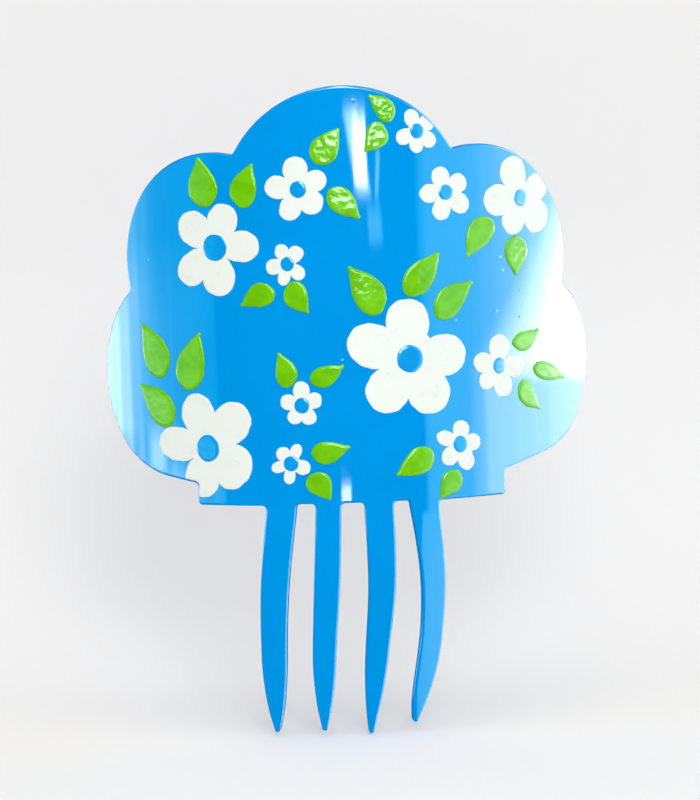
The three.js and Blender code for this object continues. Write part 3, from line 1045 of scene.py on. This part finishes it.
@dataclass
class Flower:
    """A flower: thin white petals brushed outwards, and a raised blue drop in the middle."""

    bend: Bend
    number: int
    packed_foot: float = 0.1 * MM
    packed_relief: float = 0.4 * MM
    coat: float = 0.24 * MM
    shoulder: float = 0.3 * MM
    ridge: float = 0.07 * MM
    ridge_inset: float = 0.55 * MM
    ridge_width: float = 0.35 * MM
    unevenness: float = 0.03 * MM
    lump_size: float = 3 * MM
    edge_wobble: float = 0.3 * MM
    edge_waves: float = 3.2 * MM
    rim_spacing: float = 0.4 * MM
    fill_spacing: float = 0.62 * MM
    drop_rise: float = 0.32 * MM
    drop_shoulder: float = 1.0 * MM
    drop_unevenness: float = 0.04 * MM
    drop_lump_size: float = 2.2 * MM
    drop_edge_wobble: float = 0.16 * MM
    drop_edge_waves: float = 2.4 * MM
    drop_rim_spacing: float = 0.3 * MM
    drop_fill_spacing: float = 0.32 * MM
    sunk: float = 0.03 * MM

    @property
    def node(self) -> str:
        """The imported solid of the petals."""
        return f"flower_{self.number:02d}"

    @property
    def drop_node(self) -> str:
        """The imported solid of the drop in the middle."""
        return f"flower_centre_{self.number:02d}"

    def petals(self, nodes: Nodes) -> Object:
        """Builds the petals, a little thicker along their edges, where the brush left them.

        Args:
            nodes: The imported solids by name.

        Returns:
            The mesh object.
        """
        outline = FlatOutline.of_node(nodes[self.node], self.bend, self.packed_foot)
        seed = float(self.number)
        outline = outline.rounded(self.rim_spacing)
        outline = outline.wobbled(self.edge_wobble, self.edge_waves, seed)

        def height(depth: np.ndarray, places: np.ndarray) -> np.ndarray:
            """The coat's lift: a quick rise, a low ridge inside it and a level field.

            Args:
                depth: How far inside the rim each place is.
                places: Places as rows of across and up.

            Returns:
                The lift at each place.
            """
            rise = rounded_rise(depth, self.shoulder)
            ridge = np.exp(-(((depth - self.ridge_inset) / self.ridge_width) ** 2))
            lumps = lumps_at(places, self.lump_size, seed)
            return rise * (self.coat + self.ridge * ridge + self.unevenness * lumps)

        patch = PaintPatch(self.bend, outline, -self.sunk, height, self.fill_spacing)
        return patch.build(self.node, self._middle(nodes))

    def drop(self, nodes: Nodes) -> Object:
        """Builds the drop as a low dome on the petals.

        Args:
            nodes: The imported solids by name.

        Returns:
            The mesh object.
        """
        packed_lift = 2 * self.packed_foot + self.packed_relief
        outline = FlatOutline.of_node(nodes[self.drop_node], self.bend, packed_lift)
        outline = outline.rounded(self.drop_rim_spacing)
        outline = outline.wobbled(self.drop_edge_wobble, self.drop_edge_waves, 60.0 + self.number)
        foot = self.coat - 2 * self.sunk

        def height(depth: np.ndarray, places: np.ndarray) -> np.ndarray:
            """The drop's lift: a steep rim that rounds over to a low crown.

            Args:
                depth: How far inside the rim each place is.
                places: Places as rows of across and up.

            Returns:
                The lift at each place.
            """
            lumps = lumps_at(places, self.drop_lump_size, 40.0 + self.number)
            rise = rounded_rise(depth, self.drop_shoulder)
            return foot + rise * (self.drop_rise + self.drop_unevenness * lumps)

        patch = PaintPatch(self.bend, outline, foot - self.sunk, height, self.drop_fill_spacing)
        return patch.build(self.drop_node)

    def _middle(self, nodes: Nodes) -> np.ndarray:
        """The flower's middle in the flat sheet.

        Args:
            nodes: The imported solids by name.

        Returns:
            The place as across and up.
        """
        corners = np.array([vert.co[:] for vert in nodes[self.drop_node].data.vertices])
        flat = self.bend.flatten(corners)[:, :2]
        return (flat.min(0) + flat.max(0)) / 2


@dataclass
class Leaf:
    """A leaf of thick paint, rounded over and uneven on top."""

    bend: Bend
    number: int
    packed_foot: float = 0.1 * MM
    relief: float = 0.55 * MM
    shoulder: float = 1.1 * MM
    tail_share: float = 0.42
    tail_narrowing: float = 0.12
    tip_radius: float = 0.7 * MM
    unevenness: float = 0.05 * MM
    lump_size: float = 1.9 * MM
    edge_wobble: float = 0.16 * MM
    edge_waves: float = 2.6 * MM
    plain_corner: float = math.radians(50)
    tail_corner: float = math.radians(100)
    rim_spacing: float = 0.3 * MM
    fill_spacing: float = 0.38 * MM
    sunk: float = 0.03 * MM

    @property
    def node(self) -> str:
        """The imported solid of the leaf."""
        return f"leaf_{self.number:02d}"

    def build(self, nodes: Nodes) -> Object:
        """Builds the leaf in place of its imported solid.

        Args:
            nodes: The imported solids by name.

        Returns:
            The mesh object.
        """
        outline = FlatOutline.of_node(nodes[self.node], self.bend, self.packed_foot)
        outline = self._tailed(outline.rounded(self.rim_spacing, self.plain_corner))
        seed = 80.0 + 3 * self.number
        outline = outline.wobbled(self.edge_wobble, self.edge_waves, seed)

        def height(depth: np.ndarray, places: np.ndarray) -> np.ndarray:
            """The leaf's lift: a full rounded rim and lumps on a nearly level top.

            Args:
                depth: How far inside the rim each place is.
                places: Places as rows of across and up.

            Returns:
                The lift at each place.
            """
            rise = rounded_rise(depth, self.shoulder)
            broad = lumps_at(places, self.lump_size, seed)
            fine = lumps_at(places, 0.4 * self.lump_size, seed + 1)
            return rise * (self.relief + self.unevenness * (broad + FINE_WAVES * fine))

        patch = PaintPatch(self.bend, outline, -self.sunk, height, self.fill_spacing)
        return patch.build(self.node)

    def _tailed(self, outline: FlatOutline) -> FlatOutline:
        """Draws the pointed end out into a narrow tail with a blunt tip.

        Args:
            outline: The plain pointed leaf.

        Returns:
            The leaf with its tail.
        """
        points = outline.points
        away = points - points.mean(0)
        start = int(np.argmax(np.hypot(*away.T)))
        points = np.roll(points, -start, 0)
        tip = points[0]
        along = unit(points.mean(0) - tip)
        square = np.array([-along[1], along[0]])
        back, aside = (points - tip) @ along, (points - tip) @ square
        whole = float(back.max())
        half = int(np.argmax(back))
        sides = (np.arange(len(points)) <= half, np.arange(len(points)) >= half)
        edges = []
        for side in sides:
            order = np.argsort(back[side])
            edges.append(np.interp(back, back[side][order], aside[side][order]))
        edges[1] = np.where(back <= 0, 0, edges[1])
        middle, width = (edges[0] + edges[1]) / 2, np.abs(edges[0] - edges[1]) / 2
        share = np.clip(back / (self.tail_share * whole), 0, 1)
        narrow = 1 - self.tail_narrowing * (1 - smooth(share))
        blunt = self.tip_radius * np.sqrt(1 - (1 - np.clip(back / self.tip_radius, 0, 1)) ** 2)
        sign = np.sign(aside - middle)
        new = middle + sign * np.where(share < 1, np.maximum(width * narrow, blunt), width)
        new = np.where(share < 1, new, aside)
        drawn = FlatOutline(tip + back[:, None] * along + new[:, None] * square)
        return drawn.rounded(self.rim_spacing, self.tail_corner)


@dataclass
class PaintedDesign:
    """All the flowers and leaves on the head plate."""

    bend: Bend
    flowers: int = 12
    leaves: int = 25
    wet: tuple[int, ...] = (1, 2, 3, 4)
    wet_unevenness: float = 0.12 * MM
    wet_green: ThickGreen = ThickGreen("green_paint_wet", lumps=0.12, grain=0.02, coat=1.0)

    def build(self, nodes: Nodes, wardrobe: Wardrobe) -> None:
        """Builds and dresses every flower and leaf.

        Args:
            nodes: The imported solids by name.
            wardrobe: Where the finishes come from.
        """
        for number in range(1, self.flowers + 1):
            flower = Flower(self.bend, number)
            wardrobe.complete(flower.petals(nodes), Slot.WHITE)
            wardrobe.complete(flower.drop(nodes), Slot.DROP)
        for number in range(1, self.leaves + 1):
            wet = number in self.wet
            leaf = Leaf(self.bend, number)
            if wet:
                leaf.unevenness = self.wet_unevenness
            wardrobe.complete(leaf.build(nodes), Slot.GREEN, self.wet_green if wet else None)


# ---- The studio ----


def direction(azimuth: float | np.ndarray, elevation: float | np.ndarray) -> np.ndarray:
    """Unit directions from the comb at azimuths, nought to the front, and elevations.

    Args:
        azimuth: Degrees round from the front.
        elevation: Degrees above level.

    Returns:
        Directions along the last axis.
    """
    across, rise = np.radians(azimuth), np.radians(elevation)
    level = np.cos(rise)
    return np.stack([np.sin(across) * level, -np.cos(across) * level, np.sin(rise)], -1)


@dataclass
class Sweep:
    """The pale paper under and behind the comb: level floor, a bend and an upright back."""

    floor: float
    half_width: float = 2.6
    front: float = 1.6
    bend_start: float = 0.09
    bend_radius: float = 0.16
    height: float = 1.8
    bend_steps: int = 16

    def build(self) -> Object:
        """Builds the paper, marks it as stage and keeps it out of reflections.

        Returns:
            The paper.
        """
        profile = [(-self.front, 0.0), (0.0, 0.0)]
        for step in range(self.bend_steps + 1):
            turn = math.pi / 2 * step / self.bend_steps
            profile.append((
                self.bend_start + self.bend_radius * math.sin(turn),
                self.bend_radius * (1 - math.cos(turn)),
            ))
        profile.append((self.bend_start + self.bend_radius, self.height))
        places = [
            (side * self.half_width, along, self.floor + rise)
            for side in (-1, 1)
            for along, rise in profile
        ]
        count = len(profile)
        faces = [(i, i + count, i + count + 1, i + 1) for i in range(count - 1)]
        paper = mesh_object("studio_paper", np.array(places), faces)
        paper.data.materials.append(StudioPaper().make())
        paper.visible_glossy = False
        paper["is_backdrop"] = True
        return paper


@dataclass(frozen=True)
class GlowPanel:
    """A patch of light that shows only as a reflection in the gloss.

    Its knots are azimuths and the radiance at each, and low and high are its elevations.
    """

    across: Knots
    low: float
    high: float
    low_soft: float
    high_soft: float
    slant: float = 0.0
    streaks: float = 0.0

    def glow(self, azimuth: np.ndarray, elevation: np.ndarray) -> np.ndarray:
        """How bright the patch is in given directions.

        Args:
            azimuth: Degrees round from the front.
            elevation: Degrees above level.

        Returns:
            The radiance in each direction.
        """
        knots, levels = zip(*self.across)
        moved = azimuth - self.slant * (elevation - self.low)
        level = np.interp(moved, knots, levels, left=0, right=0)
        rise = np.clip((elevation - self.low) / self.low_soft + 0.5, 0, 1)
        fall = np.clip((self.high - elevation) / self.high_soft + 0.5, 0, 1)
        glow = level * smooth(rise) * fall
        if self.streaks:
            lit = np.flatnonzero(glow)
            along, up = STREAK_STRETCH
            spots = zip(along * azimuth[lit], up * elevation[lit])
            wave = [noise.noise((*spot, STREAK_SEED)) for spot in spots]
            glow[lit] *= 1 + self.streaks * np.array(wave)
        return glow


@dataclass
class GlowScreen:
    """A screen round the comb that carries every reflected patch of light."""

    panels: tuple[GlowPanel, ...]
    distance: float = 1.5
    step: float = 0.3
    cast: Knots = ((0, 0), (0.05, 1.5), (0.4, 2), (1, 3.3), (60, 62))
    azimuths: tuple[float, float] = (-129, 129)
    elevations: tuple[float, float] = (-45, 78)

    def build(self) -> Object:
        """Builds the screen, which only glossy surfaces see.

        Returns:
            The screen.
        """
        columns = np.arange(self.azimuths[0], self.azimuths[1] + self.step, self.step)
        rows = np.arange(self.elevations[0], self.elevations[1] + self.step, self.step)
        azimuth, elevation = (grid.ravel() for grid in np.meshgrid(columns, rows))
        places = self.distance * direction(azimuth, elevation)
        side = len(columns)
        first = (np.arange(len(rows) - 1)[:, None] * side + np.arange(side - 1)).ravel()
        faces = np.stack([first, first + 1, first + side + 1, first + side], 1)
        screen = mesh_object("glow_screen", places, faces.tolist())
        glow = sum(panel.glow(azimuth, elevation) for panel in self.panels)
        cool = np.interp(glow, *zip(*self.cast))
        colours = np.stack([glow, cool, cool, np.ones_like(glow)], 1)
        layer = screen.data.attributes.new("glow", "FLOAT_COLOR", "POINT")
        layer.data.foreach_set("color", colours.ravel())
        screen.data.materials.append(self._material())
        for hidden in ("visible_camera", "visible_diffuse", "visible_shadow"):
            setattr(screen, hidden, False)
        screen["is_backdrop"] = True
        return screen

    @staticmethod
    def _material() -> bpy.types.Material:
        """A glow as strong as the screen's own layer says.

        Returns:
            The material.
        """
        kit = MaterialKit("glow_screen")
        layer = kit.add("Attribute", attribute_name="glow").outputs["Color"]
        glow = kit.add("Emission", {"Color": layer}).outputs["Emission"]
        kit.feed(kit.output, {"Surface": glow})
        kit.tree.nodes.remove(kit.shader)
        return kit.material


@dataclass(frozen=True)
class SoftLight:
    """A rectangular studio light that points at the comb."""

    name: str
    azimuth: float
    elevation: float
    width: float
    height: float
    power: float
    distance: float = 1.2
    aim: tuple[float, float, float] = (0.0, 0.02, 0.03)
    mirrored: bool = False

    def build(self) -> Object:
        """Builds the light.

        Returns:
            The light.
        """
        light = bpy.data.lights.new(self.name, "AREA")
        light.shape = "RECTANGLE"
        light.size, light.size_y = self.width, self.height
        light.energy = self.power
        lamp = bpy.data.objects.new(self.name, light)
        lamp.location = Vector(self.aim) + Vector(
            direction(self.azimuth, self.elevation) * self.distance
        )
        towards = Vector(self.aim) - lamp.location
        lamp.rotation_euler = towards.to_track_quat("-Z", "Y").to_euler()
        lamp.visible_camera = False
        lamp.visible_glossy = self.mirrored
        bpy.context.scene.collection.objects.link(lamp)
        return lamp


@dataclass
class Studio:
    """Paper, lights, reflected cards and the camera."""

    floor: float
    room_light: float = 0.66
    room_reflection: float = 0.0
    seen_backdrop: Colour = (0.87, 0.885, 0.875)
    camera_distance: float = 0.9
    camera_centre_height: float = 32 * MM
    camera_aside: float = 0.1 * MM
    yaw: float = math.radians(1.5)
    pitch: float = math.radians(5)
    roll: float = math.radians(-1.85)
    frame_width: float = 212.8 * MM
    sensor: float = 36.0
    lights: tuple[SoftLight, ...] = (
        SoftLight("key", 6, 25, width=0.4, height=0.34, power=3.8, distance=1.15),
        SoftLight("overhead", 0, 72, width=1.2, height=0.8, power=4.4, mirrored=True),
    )
    panels: tuple[GlowPanel, ...] = (
        # On the right: a wall that grows brighter, in three storeys, and a blown-out panel.
        GlowPanel(((29.5, 0), (30.5, 0.03), (34.5, 0.9), (52, 1.2), (60, 2.1), (75, 4.4),
                   (87, 6.5), (130, 9)), low=-3, high=42, low_soft=0.8, high_soft=6, streaks=0.2),
        GlowPanel(((31, 0), (33, 1.0), (50, 1.2), (56, 3.6), (60, 7), (76, 8), (92, 8.8),
                   (130, 10)), low=-9, high=-3, low_soft=2, high_soft=0.8, streaks=0.2),
        GlowPanel(((29, 0), (29.8, 1.2), (60, 3), (130, 7)),
                  low=-50, high=-9, low_soft=1, high_soft=2, streaks=0.2),
        GlowPanel(((50, 0), (55, 3), (60, 6), (68, 11), (80, 16), (130, 22)),
                  low=-3, high=6, low_soft=0.8, high_soft=5, slant=8),
        # On the left: a streaky patch with two short bars under it.
        GlowPanel(((-130, 11), (-103, 9.5), (-98, 7), (-91, 3.2), (-84, 1.2), (-75, 0.5),
                   (-54, 0.1), (-52, 0)), low=-4.4, high=0, low_soft=0.8, high_soft=3, streaks=0.5),
        GlowPanel(((-130, 3), (-98, 2.2), (-88, 1.2), (-81, 0.4), (-77, 0.15), (-54, 0.05),
                   (-52, 0)), low=-1, high=12, low_soft=2, high_soft=6, streaks=0.5),
        GlowPanel(((-130, 6), (-100, 5), (-85, 2), (-70, 1), (-52, 0.7), (-50, 0)),
                  low=-12, high=-4.4, low_soft=2, high_soft=1, streaks=1.0),
        GlowPanel(((-86, 0), (-83, 6), (-79, 6), (-76, 0)),
                  low=-5.8, high=-4.4, low_soft=0.7, high_soft=0.7),
        GlowPanel(((-78, 0), (-74.5, 4), (-70, 4), (-67, 0)),
                  low=-6.6, high=-5.6, low_soft=0.6, high_soft=0.6),
        # In the middle: a narrow window with its glints, and a spark above the tines.
        GlowPanel(((6.4, 0), (7.2, 9), (11.8, 13), (12.4, 0)),
                  low=2.7, high=5.2, low_soft=0.4, high_soft=0.4, slant=-1.9, streaks=0.6),
        GlowPanel(((5.4, 0), (6.2, 24), (10.6, 30), (11.2, 0)),
                  low=2.9, high=4.9, low_soft=0.5, high_soft=0.7),
        GlowPanel(((13.6, 0), (14.2, 4), (14.8, 4), (15.4, 0)),
                  low=2.5, high=3.9, low_soft=0.4, high_soft=0.4, slant=0.8),
        GlowPanel(((10.8, 0), (11.6, 1.4), (15.6, 1.4), (17, 0)),
                  low=1.1, high=2.1, low_soft=0.4, high_soft=0.5, slant=-0.6),
        GlowPanel(((-3.4, 0), (-2.6, 24), (0.2, 24), (1, 0)),
                  low=-7.0, high=-6.5, low_soft=0.25, high_soft=0.25),
        # Above: what the raised wet leaves and the rounded edges mirror.
        GlowPanel(((-10, 0), (-6, 17), (20, 17), (24, 0)),
                  low=7.2, high=17, low_soft=0.5, high_soft=3),
        GlowPanel(((-22, 0), (-14, 4), (14, 5), (22, 0)),
                  low=24, high=40, low_soft=3, high_soft=4),
        GlowPanel(((-8, 0), (-5, 14), (10, 14), (13, 0)),
                  low=20, high=76, low_soft=2, high_soft=3),
    )

    def build(self) -> None:
        """Builds everything round the comb."""
        Sweep(self.floor).build()
        for light in self.lights:
            light.build()
        GlowScreen(self.panels).build()
        self._room()
        self._camera()
        bpy.context.scene.view_settings.view_transform = "Standard"

    def _room(self) -> None:
        """Pale room light all round, which is nearly dark where the gloss mirrors it."""
        world = bpy.data.worlds.new("room")
        world.use_nodes = True
        kit = NodeKit(world.node_tree)
        ambient, mirrored, seen = (
            kit.add("Background", {"Color": (*colour, 1), "Strength": strength}).outputs[0]
            for strength, colour in (
                (self.room_light, (0.985, 1.0, 0.995)),
                (self.room_reflection, (1, 1, 1)),
                (1.0, self.seen_backdrop),
            )
        )
        path = kit.add("LightPath").outputs
        unseen = kit.either(path["Is Glossy Ray"], ambient, mirrored)
        kit.add("OutputWorld", {"Surface": kit.either(path["Is Camera Ray"], unseen, seen)})
        bpy.context.scene.world = world

    def _camera(self) -> None:
        """A long lens in front of the comb, looking a little down on it."""
        lens = bpy.data.cameras.new("camera")
        lens.sensor_fit = "HORIZONTAL"
        lens.sensor_width = self.sensor
        lens.lens = self.sensor * self.camera_distance / self.frame_width
        camera = bpy.data.objects.new("camera", lens)
        turned = (
            Matrix.Rotation(self.roll, 4, "Y")
            @ Matrix.Rotation(self.pitch, 4, "X")
            @ Matrix.Rotation(self.yaw, 4, "Z")
        )
        back = turned.transposed()
        centre = Vector((0, 0, self.camera_centre_height))
        eye = centre - back @ Vector((self.camera_aside, self.camera_distance, 0))
        camera.matrix_world = (
            Matrix.Translation(eye) @ back @ Matrix.Rotation(math.pi / 2, 4, "X")
        )
        bpy.context.scene.collection.objects.link(camera)
        bpy.context.scene.camera = camera


# ---- Everything in order ----


def corners_of_all() -> list[list[float]]:
    """The lowest and highest corner of everything shown, as plain lists."""
    return [list(corner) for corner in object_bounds()]


def main() -> None:
    """Builds the comb, its paint and the studio, with the floor set just under the imported model.
    """
    logging.basicConfig(level=logging.INFO, format="%(name)s: %(message)s")
    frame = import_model()
    packed_box = corners_of_all()
    nodes = frame["nodes"]
    bend = Bend()
    wardrobe = Wardrobe()

    wardrobe.complete(CombSheet(bend).build(nodes), Slot.LACQUER)
    PaintedDesign(bend).build(nodes, wardrobe)
    Studio(floor=packed_box[0][2] - FLOOR_GAP).build()


if __name__ == "__main__":
    main()
